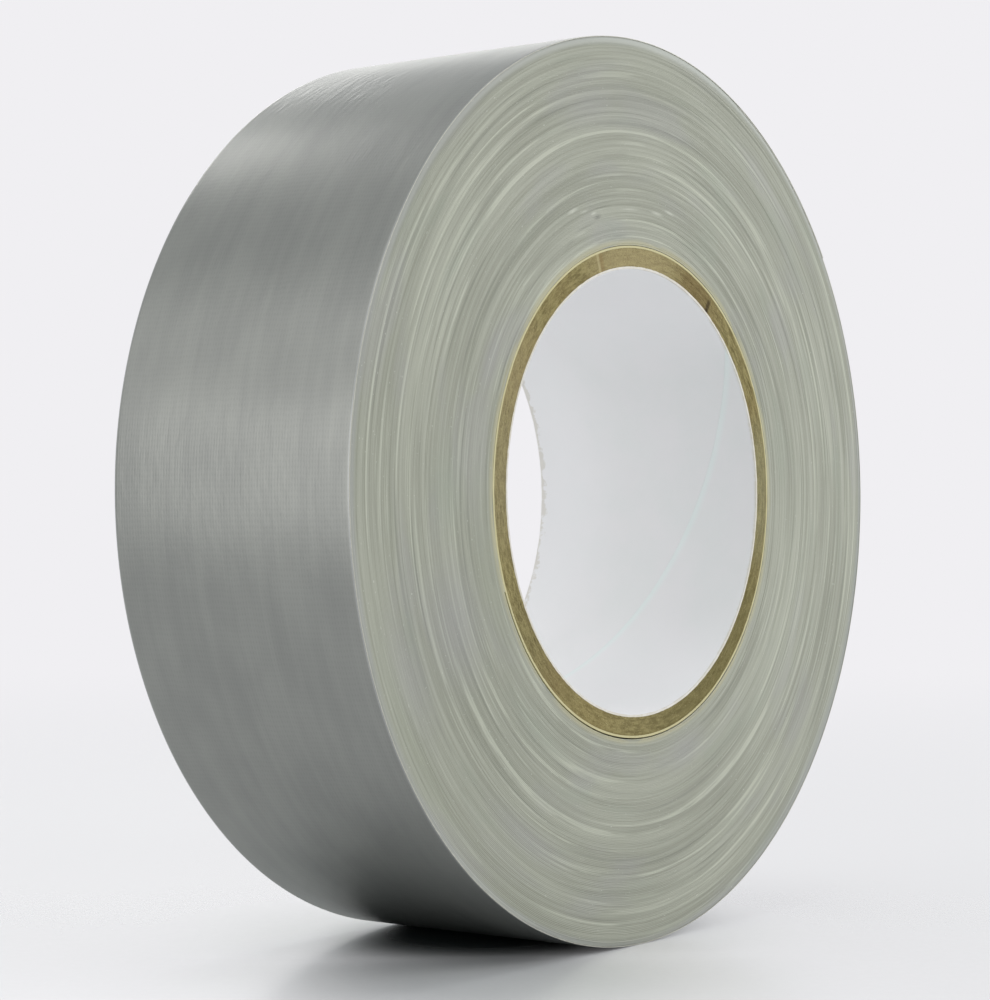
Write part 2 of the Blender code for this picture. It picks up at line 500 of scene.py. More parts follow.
# Marks on the front face: angle, radius in mm, reach round in degrees, reach outwards in mm, and a strength
# where the mark is weakened.
LIT_SPOTS = (
    (138.0, 72.3, 44.0, 0.55), (128.0, 68.0, 34.0, 0.55), (142.0, 64.2, 34.0, 0.55),
    (205.0, 61.9, 34.0, 0.55), (247.0, 64.9, 22.0, 0.55), (150.0, 58.2, 24.0, 0.55),
    (247.0, 50.0, 16.0, 0.55), (331.0, 65.0, 22.0, 0.55), (20.0, 63.0, 34.0, 0.55),
    (62.0, 69.5, 30.0, 0.55), (75.0, 57.5, 26.0, 0.55),
)
SHADE_SPOTS = (
    (136.0, 71.2, 40.0, 0.6), (140.0, 62.8, 20.0, 0.7), (143.0, 51.8, 26.0, 0.8),
    (283.0, 63.6, 36.0, 0.6), (85.0, 63.0, 26.0, 0.6),
)
LILAC_SPOTS = (
    (103.0, 66.0, 12.0, 6.0, 0.8), (154.0, 47.0, 14.0, 3.5), (202.0, 56.0, 16.0, 11.0),
    (204.0, 69.0, 14.0, 7.0, 0.8), (240.0, 65.0, 16.0, 3.5, 0.8), (287.0, 47.0, 13.0, 4.5),
)
GREEN_SPOTS = ((180.0, 54.0, 12.0, 6.0), (232.0, 49.0, 16.0, 4.0, 0.7))
# Painted shade: darker patches on the lower left of the front face.
PAINTED_SHADE_PATCHES = ((196.0, 45.5, 30.0, 5.0), (212.0, 73.5, 24.0, 3.2))
NICK_SPOTS = (
    (113.5, 50.2, 2.6, 0.5), (106.9, 48.3, 1.5, 0.35), (84.0, 48.3, 3.2, 0.4),
    (79.5, 49.3, 2.6, 0.4), (94.0, 48.1, 5.0, 0.3, 0.6), (113.0, 46.0, 4.0, 0.3, 0.6),
    (110.0, 49.2, 2.0, 0.3, 0.7),
)
# Painted shade in small dents.
DENT_SHADE_SPOTS = (
    (105.8, 47.5, 2.0, 0.55), (104.0, 48.9, 4.5, 0.3, 0.6), (111.0, 46.7, 5.0, 0.3, 0.6),
    (117.0, 45.6, 3.5, 0.3, 0.5),
)


def edge_material():
    """The sides of the wound strip: each turn's cut edge of film, cloth and adhesive."""
    paint = Paint("wound_edges")
    cosine, sine, radius, y = paint.round()
    side = y.apply("SIGN")
    turns = (ROLL_MM - radius) * (MM / TURN_DROP)

    def arcs(length, rate, seed, detail=1.0):
        """Noise drawn out along the turns: features about 1/length radians long and 1/rate turns wide."""
        place = (cosine * length + seed, sine * length + side * 7.0, turns * rate)
        return paint.noise(place, detail=detail)

    def spot(angle, middle, wide, high, *strength):
        """1 at a place on the front face, falling to 0 that many degrees round and millimetres out from it."""
        turned = math.radians(angle)
        away = 1.0 - (cosine * math.cos(turned) + sine * math.sin(turned))
        away = away * (2.0 / math.radians(wide) ** 2)
        out = (radius - middle) * (1.0 / high)
        near = (away + out * out).apply("SQRT").span(1.0, 0.0) * y.apply("LESS_THAN", 0.0)
        return near * strength[0] if strength else near

    def spots(table):
        return [spot(*row) for row in table]

    each = arcs(length=1.5, rate=0.85, seed=3.0)
    pairs = arcs(length=1.9, rate=0.40, seed=11.0, detail=2.0)
    wide = arcs(length=1.2, rate=0.13, seed=19.0, detail=2.0)
    broad = arcs(length=1.1, rate=0.045, seed=23.0, detail=2.0)
    tone = (each * 0.26 + pairs * 0.24) + (wide * 0.26 + broad * 0.24)
    colour = paint.mix(tone.span(0.38, 0.62), EDGE_DARK, EDGE_PALE)

    # Pale lines along the turns are painted highlights and dark ones painted shade, broken here and there; also a
    # few dark nicks.
    breaks = arcs(length=4.5, rate=0.40, seed=61.0, detail=2.0).span(0.30, 0.52)
    lines = arcs(length=0.85, rate=0.30, seed=57.0).span(0.615, 0.70)
    lines = highest(lines, *spots(LIT_SPOTS))
    colour = paint.tint(colour, lines * breaks, EDGE_LIT, amount=0.66)
    ticks = arcs(length=3.4, rate=0.62, seed=71.0).span(0.56, 0.70)
    ticks = ticks * arcs(length=1.6, rate=0.03, seed=77.0).span(0.42, 0.62)
    colour = paint.tint(colour, ticks, EDGE_LIT, amount=0.40)
    shades = arcs(length=1.1, rate=0.26, seed=43.0).span(0.60, 0.70)
    shades = highest(shades, *spots(SHADE_SPOTS))
    colour = paint.tint(colour, shades * breaks, EDGE_NICK_AND_SHADE, amount=0.46)
    nicks = arcs(length=5.0, rate=0.60, seed=91.0).span(0.66, 0.76)
    colour = paint.tint(colour, nicks, EDGE_NICK_AND_SHADE, amount=0.30)

    # Broad patches of another tone.
    lilac = arcs(length=2.2, rate=0.030, seed=5.0, detail=2.0).span(0.52, 0.68) * 0.6
    colour = paint.tint(colour, highest(lilac, *spots(LILAC_SPOTS)), EDGE_LILAC, amount=0.50)
    green = arcs(length=3.0, rate=0.04, seed=87.0, detail=2.0).span(0.56, 0.72) * 0.7
    colour = paint.tint(colour, highest(green, *spots(GREEN_SPOTS)), EDGE_GREEN, amount=0.32)
    # Painted shade on the lower left of the front face.
    colour = paint.tint(colour, highest(*spots(PAINTED_SHADE_PATCHES)), srgb(138, 142, 124), amount=0.50)
    # Painted light: the front face is paler towards the lower right.
    painted_light_low_right = spot(angle=338.0, middle=53.0, wide=44.0, high=10.0)
    colour = paint.tint(colour, painted_light_low_right, srgb(186, 189, 174), amount=0.40)
    low_right_rim = spot(angle=318.0, middle=76.4, wide=52.0, high=2.6)
    colour = paint.tint(colour, low_right_rim, srgb(148, 151, 150), amount=0.55)

    # The outer rim, and the turns next to the core.
    rim = radius.span(ROLL_MM - 1.7, ROLL_MM - 0.6)
    rim = rim * arcs(length=2.0, rate=0.10, seed=95.0, detail=2.0).span(0.30, 0.56, 0.45, 1.0)
    colour = paint.tint(colour, rim, EDGE_RIM, amount=0.60)
    # Painted highlight: the rim is paler at the top.
    highlight_top_rim = spot(angle=74.0, middle=76.7, wide=62.0, high=1.5)
    colour = paint.tint(colour, highlight_top_rim, srgb(200, 204, 196), amount=0.60)
    right_rim = spot(angle=344.0, middle=76.7, wide=42.0, high=1.5)
    colour = paint.tint(colour, right_rim, srgb(138, 143, 138), amount=0.85)
    inner = radius.span(43.4, 42.2)
    inner = inner * arcs(length=6.0, rate=0.3, seed=99.0, detail=2.0).span(0.30, 0.55)
    colour = paint.tint(colour, inner, srgb(184, 178, 140), amount=0.65)

    # Small marks.
    # Painted glints: small pale specks along the turns.
    glint_specks = paint.noise((cosine * 110.0, sine * 110.0, turns * 1.0), detail=1.0)
    colour = paint.tint(colour, glint_specks.span(0.73, 0.80), srgb(208, 210, 200), amount=0.55)
    colour = paint.tint(colour, highest(*spots(NICK_SPOTS)), srgb(206, 208, 196), amount=0.60)
    # Painted shade in small dents.
    colour = paint.tint(colour, highest(*spots(DENT_SHADE_SPOTS)), srgb(98, 100, 94), amount=0.55)
    grain = paint.noise(paint.place(), scale=6.0)
    return paint.finish(
        bumps=((tone, 0.00010), (grain, 0.00001)),
        Base_Color=colour,
        Roughness=0.52 + (grain - 0.5) * 0.25,
        Metallic=0.0,
        Specular_IOR_Level=0.45,
    )


def scrim_material():
    paint = Paint("cloth_scrim")
    along, across = paint.strip()
    warp, weft = weave(paint, along, across)
    fibre = paint.noise((along * 0.8, across * 9.0, 0.0), detail=3.0)
    over = highest(warp, weft)
    colour = paint.mix(over.span(0.2, 0.9), srgb(176, 176, 164), srgb(214, 213, 202))
    colour = paint.tint(colour, fibre, srgb(190, 188, 172), amount=0.35)
    return paint.finish(
        bumps=((over, 0.00004), (fibre, 0.00001)),
        Base_Color=colour,
        Roughness=0.8 + fibre * 0.1,
    )


def glue_material():
    """Rubber adhesive with the cloth showing through."""
    paint = Paint("rubber_adhesive")
    along, across = paint.strip()
    warp, weft = weave(paint, along, across)
    cloud = paint.noise((along * 0.25, across * 0.4, 2.0), detail=4.0, rough=0.6)
    legs = paint.noise((along * 2.5, across * 1.6, 6.0), detail=4.0, rough=0.65)
    over = highest(warp * warp, weft * weft * 0.8)
    colour = paint.mix(cloud.span(0.3, 0.7), srgb(168, 168, 156), srgb(190, 190, 179))
    colour = paint.tint(colour, over, srgb(214, 213, 202), amount=0.30)
    return paint.finish(
        bumps=((over * 0.7 + legs * 0.5, 0.00004),),
        Base_Color=colour,
        Roughness=legs.span(0.35, 0.65, 0.30, 0.58),
        Specular_IOR_Level=0.6,
    )


# ---------------------------------------------------------------- core materials
BOARD_DARK, BOARD_PALE = srgb(122, 111, 70), srgb(157, 146, 99)
BOARD_PATCHES = (  # on the front end: angle, reach in degrees, amount, colour
    (92.0, 26.0, 0.55, (180, 165, 124)),
    (168.0, 34.0, 0.35, (164, 153, 124)),
    (0.0, 24.0, 0.40, (148, 146, 118)),
    (150.0, 16.0, 0.30, (166, 148, 104)),
    (310.0, 44.0, 0.62, (106, 98, 56)),
    (222.0, 24.0, 0.25, (122, 113, 80)),
    (245.0, 20.0, 0.30, (150, 133, 84)),
)


def board_material():
    """Spiral-wound brown board: short pale and dark fibres along the turns, rough on the cut ends."""
    paint = Paint("core_board")
    cosine, sine, radius, y = paint.round()
    layers = paint.noise((cosine * 15.0, sine * 15.0, radius * 1.5), detail=4.0, rough=0.65)
    patch = paint.noise((cosine * 2.3, sine * 2.3, y * 0.1))
    fibre = paint.noise((cosine * 80.0, sine * 80.0, radius * 4.0), detail=3.0, rough=0.7)
    grit = paint.noise(paint.place(), scale=3.5, detail=3.0, rough=0.65)

    def line(angle, outside, inside):
        """A radial line on the front end: 0 beyond outside mm from its middle, 1 within inside mm."""
        line_x, line_z = math.cos(math.radians(angle)), math.sin(math.radians(angle))
        off = abs((cosine * line_z - sine * line_x) * radius)
        own_side = (cosine * line_x + sine * line_z).span(0.7, 0.8)
        return off.span(outside, inside) * (own_side * y.span(-20.0, -22.0))

    def near(angle, wide):
        """1 at an angle on the front end, falling to 0 that many degrees away."""
        turned = math.radians(angle)
        aligned = cosine * math.cos(turned) + sine * math.sin(turned)
        return aligned.span(math.cos(math.radians(wide)), 1.0) * y.span(-20.0, -22.0)

    colour = paint.mix(layers.span(0.36, 0.64), BOARD_DARK, BOARD_PALE)
    colour = paint.tint(colour, patch.span(0.52, 0.72), srgb(138, 118, 76), amount=0.35)
    for angle, wide, amount, shade in BOARD_PATCHES:
        colour = paint.tint(colour, near(angle, wide), srgb(*shade), amount)
    colour = paint.tint(colour, fibre.span(0.55, 0.74), srgb(186, 174, 128), amount=0.55)
    colour = paint.tint(colour, fibre.span(0.44, 0.30), srgb(96, 82, 50), amount=0.5)
    colour = paint.tint(colour, grit.span(0.56, 0.72), srgb(108, 92, 58), amount=0.45)
    band = line(64.0, outside=9.0, inside=2.0)
    colour = paint.tint(colour, band, srgb(108, 84, 48), amount=0.45)
    # Painted shade in the notch at the first ply's seam.
    notch_shade = line(SEAMS["core_ply_1"], outside=0.8, inside=0.2) * radius.span(41.4, 40.2)
    colour = paint.tint(colour, notch_shade, srgb(58, 44, 26), amount=0.75)
    seam = line(SEAMS["core_ply_3"], outside=0.55, inside=0.12)
    colour = paint.tint(colour, seam, srgb(194, 182, 140), amount=0.60)
    beside = line(SEAMS["core_ply_3"] - 1.2, outside=0.9, inside=0.2)
    colour = paint.tint(colour, beside, srgb(146, 120, 78), amount=0.40)
    return paint.finish(
        bumps=((grit, 0.00016), (fibre, 0.00008)),
        Base_Color=colour,
        Roughness=0.80 + grit * 0.15,
        Specular_IOR_Level=0.25,
    )


def paper_material(name, pale, shade, rim, seam=None):
    """Smooth paper, a little mottled, browner and rougher at the cut rims. seam is the angle where its two edges
    meet at the front end, for paper that shows them. Such paper also gets painted light: paler towards its back
    end and at its top and bottom."""
    paint = Paint(name)
    cosine, sine, radius, y = paint.round()
    place = paint.place()
    mottle = paint.noise(place, scale=0.11, detail=3.0)
    fibre = paint.noise(place, scale=2.6, detail=4.0, rough=0.65)
    colour = paint.mix(mottle.span(0.3, 0.7), pale, shade)
    colour = paint.tint(colour, fibre.span(0.60, 0.75), srgb(178, 176, 170), amount=0.08)
    if seam is not None:  # the paper shows paler where its two edges meet
        turned = (seam - (y + CORE_MM) * SEAM_RATE) * (math.pi / 180.0)
        seam_x, seam_z = turned.apply("COSINE"), turned.apply("SINE")
        off = (cosine * seam_z - sine * seam_x) * radius
        ahead = (cosine * seam_x + sine * seam_z).apply("GREATER_THAN", 0.0)
        joined = off.span(-0.6, 0.4) * off.span(4.5, 0.6) * ahead
        # Painted light: the paper is paler towards the back end and at the top and bottom.
        painted_light = highest(y.span(2.0, 20.0), abs(sine).span(0.5, 0.9))
        colour = paint.tint(colour, painted_light, srgb(250, 249, 251), amount=0.62)
        paler = paint.mix(0.5, colour, srgb(232, 255, 250))
        colour = paint.tint(colour, joined, paler, amount=0.55)
    # The worn rim reaches an uneven way in from each end, further at the back.
    fray = paint.noise((cosine * 16.0, sine * 16.0, y * 0.4), detail=3.0, rough=0.7)
    deep = y.span(-1.0, 1.0, 0.20, 1.30)
    reach = CORE_MM - fray.span(0.36, 0.66) * deep
    tan = (abs(y) - reach).span(-0.45, 0.35)
    worn = paint.mix(y.span(-1.0, 1.0), rim, paint.mix(0.5, rim, pale))
    colour = paint.tint(colour, tan, worn, amount=0.66)
    return paint.finish(
        bumps=((mottle, 0.00003), (fibre, 0.000006)),
        Base_Color=colour,
        Roughness=0.55 + fibre * 0.2,
        Specular_IOR_Level=0.35,
    )


MAT_FILM = film_material()
MAT_EDGE = edge_material()
MAT_SCRIM = scrim_material()
MAT_GLUE = glue_material()
MAT_BOARD = board_material()
MAT_LINER = paper_material(
    "liner_paper",
    pale=srgb(238, 237, 238),
    shade=srgb(235, 236, 236),
    rim=srgb(200, 190, 164),
    seam=SEAMS["core_liner"],
)
MAT_CREAM = paper_material(
    "cream_paper",
    pale=srgb(210, 204, 164),
    shade=srgb(198, 191, 150),
    rim=srgb(200, 191, 144),
)


# ---------------------------------------------------------------- the wound strip
PER_TURN = 160
SEGMENT = 360.0 / PER_TURN
INNER_END = 204.375  # angle of the strip's inner cut end
PACK_TOP = spiral(ROOT + 360.0)  # outer surface where the pack starts, under the free end's root
END_STEPS = round((INNER_END - ROOT) / SEGMENT)
TURNS = (
    round((PACK_TOP - FIRST_OUT) / TURN_DROP - END_STEPS / PER_TURN) + END_STEPS / PER_TURN
)
PITCH = (PACK_TOP - FIRST_OUT) / TURNS
STATIONS = round((TURNS - 1.0) * PER_TURN)  # steps down to the turn that lies on the core
FRONT_SEED, BACK_SEED = 5, 55


def side_offset(turn, angle, seed):
    """How far a turn's edge stands proud of the nominal side face, in metres."""
    drift = 0.10 * round_noise(angle, turn / 19.0, 0.7, seed)
    bands = 0.035 * round_noise(angle, turn / 4.1, 1.3, seed + 1)
    alone = 0.022 * round_noise(angle, turn * 0.83, 1.9, seed + 2)
    worn = -0.16 * np.exp(-turn / 1.6)
    return (drift + bands + alone + worn) * MM


def build_windings():
    """The pack of turns. On each side an outer and an inner line run along the strip, a turn's inner line set
    0.56 of the pitch under its outer one."""
    step = np.arange(STATIONS + PER_TURN + 1)
    turn = step / PER_TURN
    angle = ROOT + SEGMENT * step
    radius = PACK_TOP - PITCH * turn
    lines, ids, count = [], {}, 0
    for sign, seed in ((-1, FRONT_SEED), (1, BACK_SEED)):
        off = side_offset(turn, angle, seed)
        groove = (0.014 + 0.012 * round_noise(angle, turn * 0.9, 2.1, seed + 3)) * MM
        bead = (0.012 + 0.016 * round_noise(angle, turn * 0.77, 2.7, seed + 4)) * MM
        outer = polar(radius, angle, sign * (HALF_WIDTH + off - groove))
        inner = polar(radius - 0.56 * PITCH, angle, sign * (HALF_WIDTH + off + bead))
        for key, line in (("outer", outer), ("inner", inner[: STATIONS + 1])):
            ids[sign, key] = count + np.arange(len(line))
            count += len(line)
            lines.append(line)
    last, around = STATIONS, PER_TURN
    edge, film, glue = range(3)  # material numbers
    quads, kinds = [], []

    def face(*corners, kind=edge):
        quads.append(np.stack([np.atleast_1d(corner) for corner in corners], axis=-1))
        kinds.append(np.full(len(quads[-1]), kind))

    for sign in (-1, 1):
        outer, inner = ids[sign, "outer"], ids[sign, "inner"]
        next_turn = outer[around:]
        for upper, lower in ((outer, inner), (inner, next_turn)):
            ring = (upper[:last], upper[1 : last + 1], lower[1 : last + 1], lower[:last])
            face(*(ring if sign < 0 else ring[::-1]))
    front, back = ids[-1, "outer"], ids[1, "outer"]
    front_in, back_in = ids[-1, "inner"], ids[1, "inner"]
    end = last + around
    face(front[:around], back[:around], back[1 : around + 1], front[1 : around + 1], kind=film)
    face(
        front[last + 1 : end + 1],
        back[last + 1 : end + 1],
        back[last:end],
        front[last:end],
        kind=glue,
    )
    # The strip's two cut ends, each in an upper and a lower half.
    face(front[0], front_in[0], back_in[0], back[0])
    face(front_in[0], front[around], back[around], back_in[0])
    face(front[last], back[last], back_in[last], front_in[last])
    face(front_in[last], back_in[last], back[end], front[end])
    along = np.radians(ROOT + 360.0 + SEGMENT * step - TIP) * ROLL_RADIUS
    uv = [np.stack([along[: len(line)], line[:, 1]], axis=-1) for line in lines]
    obj = build(
        "wound_tape",
        np.concatenate(lines),
        np.concatenate(quads),
        materials=(MAT_EDGE, MAT_FILM, MAT_GLUE),
        kinds=np.concatenate(kinds),
        uv=np.concatenate(uv),
    )
    # Every turn keeps its own crisp edge, and is smooth along its length.
    edges = np.empty(len(obj.data.edges) * 2, np.int32)
    obj.data.edges.foreach_get("vertices", edges)
    edges = edges.reshape(-1, 2)
    line_of = np.zeros(count, np.int32)
    for k, members in enumerate(ids.values()):
        line_of[members] = k
    ridge = (np.abs(edges[:, 0] - edges[:, 1]) == 1) & (
        line_of[edges[:, 0]] == line_of[edges[:, 1]]
    )
    attributes = obj.data.attributes
    sharp = attributes.get("sharp_edge") or attributes.new("sharp_edge", "BOOLEAN", "EDGE")
    sharp.data.foreach_set("value", ridge)
    return obj


def build_first_turn():
    """The turn that lies on the core, from the strip's inner cut end."""
    step = STATIONS + np.arange(PER_TURN)
    turn = STATIONS / PER_TURN + np.arange(PER_TURN) / PER_TURN
    angle = ROOT + SEGMENT * step
    outer = PACK_TOP - PITCH * turn - 0.012 * MM
    front = -(HALF_WIDTH + side_offset(turn, angle, FRONT_SEED))
    back = HALF_WIDTH + side_offset(turn, angle, BACK_SEED)
    sheets = []
    # Depth into the tape, and how far both edges stand out there in mm.
    for depth, lift in ((TAPE_THICK * 0.96, -0.010), (TAPE_THICK * 0.45, 0.016), (0.0, -0.012)):
        rows = [front - lift * MM, front * 0.5, back * 0.5, back + lift * MM]
        sheets.append(np.stack([polar(outer - depth, angle, y) for y in rows], axis=1))
    grid = np.stack(sheets, axis=2)
    return block("tape_first_turn_edge", grid, (MAT_EDGE, MAT_GLUE), inner_kind=1)


# ---------------------------------------------------------------- the outermost turn and the free end
FINE_ROWS = 2 * THREADS + 1  # points across the strip, two to a thread
COARSE_ROWS = 13


def film_dip(angle, y):
    """How far the film's outer surface dips below the spiral: threads under it, slow waves, and rounded sides."""
    row = (y / (2 * HALF_WIDTH) + 0.5) * THREADS
    level = 0.5 + 0.5 * noise(np.floor(row + 0.25), angle / 26.0, 0.0, 90)
    crest = 0.5 + 0.5 * np.cos(2 * math.pi * (row - 0.25))
    ribs = 0.006 * (1.0 - crest * (0.35 + 0.65 * level))
    waves = 0.016 * (1 + noise(angle / 9.0, y / (5.5 * MM), 2.0, 91))
    bands = 0.006 * (1 + noise(angle / 70.0, y / (4.5 * MM), 4.0, 92))
    side = np.clip((np.abs(y) - (HALF_WIDTH - 0.5 * MM)) / (0.5 * MM), 0, 1)
    return (ribs + waves + bands + 0.07 * side**2.5) * MM


def tip_ragged(y):
    """The cut end's line across the tape, degrees added to the tip's angle."""
    coarse = 0.35 * noise(y / (7.0 * MM), 0.0, 0.0, 70)
    fine = 0.16 * noise(y / (1.1 * MM), 3.0, 0.0, 71)
    return (0.35 + (coarse + fine)) * math.degrees(1.0 * MM / ROLL_RADIUS)


def strip_points(angles, y, depth):
    """Points of the strip. angles is (n, m), y is (m,)."""
    return polar(spiral(angles) - depth, angles, y)


def strip_uv(angles, y):
    """Metres along the strip from its tip, and across it."""
    along = np.radians(angles - TIP) * ROLL_RADIUS
    return np.stack([along, np.broadcast_to(y, angles.shape)], axis=-1)


def layer_angles(start, end, count, y):
    """Falling angles between start and end for each y; an end at the tip follows the ragged cut."""
    stop = np.full(len(y), end)
    if abs(end - TIP) < 1e-6:
        stop = stop + tip_ragged(y)
    share = (np.arange(count + 1) / count)[:, None]
    angles = start + (stop[None, :] - start) * share
    return angles[::-1] if end > start else angles


def film_piece(name, start, end, count, _rows):
    """The film has fine rows on top and few below, whatever the rows of the other layers."""
    low_rows = 9
    half = HALF_WIDTH - 0.06 * MM
    y = np.concatenate([np.linspace(-half, half, FINE_ROWS), np.linspace(half, -half, low_rows)])
    angles = layer_angles(start, end, count, y)
    dip = film_dip(angles, y)
    is_top = np.arange(len(y)) < FINE_ROWS
    depth = np.where(is_top, FILM[0] + dip, np.maximum(FILM[1], dip + 0.03 * MM))
    points = strip_points(angles, y, depth)
    return swept(name, points, strip_uv(angles, y), FINE_ROWS, low_rows, MAT_FILM)


def layer_block(name, angles, y, depths, material):
    """A layer of the strip between its inner and its outer depth."""
    grid = np.stack([strip_points(angles, y, depth) for depth in depths], axis=2)
    uv = np.repeat(strip_uv(angles, y)[:, :, None, :], 2, axis=2)
    return block(name, grid[::-1], (material,), uv=uv[::-1])


def thread_height(along, y):
    """Woven relief: lengthwise threads go over and under the crosswise ones."""
    row = (y / (2 * HALF_WIDTH) + 0.5) * THREADS
    pick = along / WEFT
    return np.cos(2 * math.pi * row) * np.cos(math.pi * pick)


def scrim_piece(name, start, end, count, rows):
    half = HALF_WIDTH - 0.03 * MM
    y = np.linspace(-half, half, rows)
    angles = layer_angles(start, end, count, y)
    along = np.radians(angles - TIP) * ROLL_RADIUS
    over = 0.010 * MM * thread_height(along, y)
    return layer_block(name, angles, y, (SCRIM[1] - over, SCRIM[0] - over), MAT_SCRIM)


def glue_piece(name, start, end, count, rows):
    half = HALF_WIDTH - 0.015 * MM
    y = np.linspace(-half, half, rows)
    angles = layer_angles(start, end, count, y)
    along = np.radians(angles - TIP) * ROLL_RADIUS
    lumps = 0.010 * MM * noise(along / (1.3 * MM), y / (0.9 * MM), 0.0, 80)
    lumps = lumps + 0.008 * MM * thread_height(along, y)
    return layer_block(name, angles, y, (GLUE[1] - 0.014 * MM + lumps, GLUE[0]), MAT_GLUE)


def thread_ends():
    """Ends of lengthwise threads that stand out of the cut end, as thin tapering tubes."""
    sides, steps = 6, 5
    buried = 0.25 * MM  # length of each tube inside the tape
    depth = (SCRIM[0] + SCRIM[1]) / 2
    points, quads, caps, uvs = [], [], [], []
    count = 0
    for k in range(THREADS):
        middle = (k + 0.5 - THREADS / 2) * WARP
        if abs(middle) > HALF_WIDTH - 0.4 * MM:
            continue
        length = RNG.uniform(-0.5, 0.95) * MM
        lean = RNG.uniform(-0.5, 0.5)
        lift = RNG.uniform(-0.10, 0.22)
        curl = RNG.uniform(-0.5, 0.5)
        thick = RNG.uniform(0.024, 0.034) * MM
        if length < 0.12 * MM:
            continue
        start = TIP + float(tip_ragged(np.array([middle]))[0])
        start += math.degrees(buried / ROLL_RADIUS)
        for j in range(steps + 1):
            share = j / steps
            angle = start - math.degrees((length + buried) * share / ROLL_RADIUS)
            radius = spiral(angle) - depth + lift * length * share * share
            y = middle + (lean * share + curl * share * share) * length * 0.6
            wide = thick * (1.0 - 0.35 * share)
            for m in range(sides):
                turned = 2 * math.pi * m / sides
                points.append(
                    polar(radius + wide * math.sin(turned), angle, y + wide * math.cos(turned))
                )
                uvs.append((math.radians(angle - TIP) * ROLL_RADIUS, y))
        for j in range(steps):
            for m in range(sides):
                here = count + j * sides + m
                beside = count + j * sides + (m + 1) % sides
                quads.append((here, beside, beside + sides, here + sides))
        caps.append(list((count + np.arange(sides))[::-1]))
        caps.append(list(count + steps * sides + np.arange(sides)))
        count += (steps + 1) * sides
    return build("tip_thread_ends", points, quads, caps, (MAT_SCRIM,), uv=uvs)


LAYERS = (  # layer, its material slot, what makes it
    ("film", "silver_film", film_piece),
    ("scrim", "cloth_scrim", scrim_piece),
    ("adhesive", "rubber_adhesive", glue_piece),
)


def build_strip():
    """The outermost turn runs a whole turn from the free end's root, so it passes under the free end."""
    for layer, slot, make in LAYERS:
        piece = make(f"outer_{layer}", ROOT, ROOT + 360.0, 288, COARSE_ROWS)
        stand_in(piece, f"outer_turn_{layer}")
    # The free end creases at its root. Further on it bends evenly, half before and half after each hinge line.
    for k, hinge in enumerate(HINGES):
        near = hinge if k == 0 else hinge + LINK / 2
        far = TIP if k == 3 else hinge - LINK / 2
        low = hinge - (0.20 if k == 0 else 0.50) * LINK
        start, end = (Vector(polar(spiral(angle), angle, 0.0)) for angle in (near, low))
        for layer, slot, make in LAYERS:
            piece = make(f"end_{k + 1}_{layer}", near, far, 24, FINE_ROWS)
            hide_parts(f"free_end_{k + 1}_{layer}")
            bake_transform(piece, BODIES[k], BODIES[k + 1], start=start, end=end)
    ends = thread_ends()
    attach(ends, BODIES[4])


# ---------------------------------------------------------------- the core
def core_piece(node, gap, rows, through, rough, material, inset=0.0, glue=0.0):
    """One ply: a strip of board wound into a tube, with its two edges facing each other along a helix.
    gap is between those edges, rough the unevenness of the tube's ends, glue an added outer thickness."""
    radii = rings_of(node)[1]
    low, high = radii.min(), radii.max() + glue
    half = CORE_HALF - inset
    y = np.linspace(-half, half, rows)
    count = 288
    share = np.arange(count + 1) / count
    seam_at = SEAMS[node] - SEAM_RATE * (y + CORE_HALF) / MM
    opening = math.degrees(gap / low)
    angles = seam_at[None, :] + opening / 2 + (360.0 - opening) * share[:, None]
    layers = []
    seed = 200 + int(SEAMS[node])
    for k in range(through):
        level = k / (through - 1)
        places = np.broadcast_to(y, angles.shape).copy()
        for column, sign in ((0, -1), (-1, 1)):
            turned = np.radians(angles[:, column])
            cosine, sine = np.cos(turned), np.sin(turned)
            ragged = noise(cosine * 55.0, sine * 55.0, level * 2.0 + sign * 9, seed)
            ragged = ragged + 0.6 * noise(cosine * 17.0, sine * 17.0, level + sign * 5, seed + 1)
            crown = 0.35 * math.sin(math.pi * level)
            places[:, column] += sign * rough * (ragged + crown)
        layers.append(polar(low + (high - low) * level, angles, places))
    piece = block(f"{node}_tube", np.stack(layers, axis=2), (material,))
    stand_in(piece, node)


def build_core():
    core_piece(
        "core_liner",
        gap=0.06 * MM,
        rows=49,
        through=3,
        rough=0.030 * MM,
        material=MAT_LINER,
    )
    for k in range(1, 6):
        core_piece(
            f"core_ply_{k}",
            gap=(0.30 if k == 1 else 0.10) * MM,
            rows=25,
            through=5,
            rough=0.045 * MM,
            material=MAT_BOARD,
            inset=0.02 * MM,
        )
    core_piece(
        "core_outer_ply",
        gap=0.15 * MM,
        rows=25,
        through=3,
        rough=0.030 * MM,
        material=MAT_CREAM,
        inset=-0.05 * MM,
        glue=0.03 * MM,
    )


# ---------------------------------------------------------------- the studio
AMBIENT = (0.592, 0.614, 0.620)
LAMP = (1.0, 0.985, 0.965)
PANEL_DISTANCE = 1.3
PANELS = (  # name, azimuth from +X towards +Y, elevation, side of the square, watts
    ("right_low", 330.0, 6.0, 0.6, 2.9),
    ("front_right_low", 300.0, 6.0, 0.6, 2.8),
    ("overhead", 0.0, 88.0, 0.6, 2.3),
    ("front_high", 270.0, 42.0, 0.6, 2.2),
    ("back_right", 48.0, 21.0, 0.55, 1.12),
    ("back_left_low", 150.0, 4.0, 0.6, 1.40),
    ("back_small", 78.5, 42.0, 0.28, 0.62),
    ("back_left_high", 150.0, 42.0, 0.6, 0.56),
    ("back_left", 135.0, 24.0, 0.6, 0.55),
    ("back_right_small", 56.5, 30.0, 0.28, 0.28),
)
CAMERA_PLACE = (-0.36917, -0.27048, -0.00650)
CAMERA_AIM = (0.7994, 0.6006, 0.0115)  # direction it looks in
FLOOR_RADIUS, FLOOR_RINGS, FLOOR_AROUND = 3.0, 24, 96


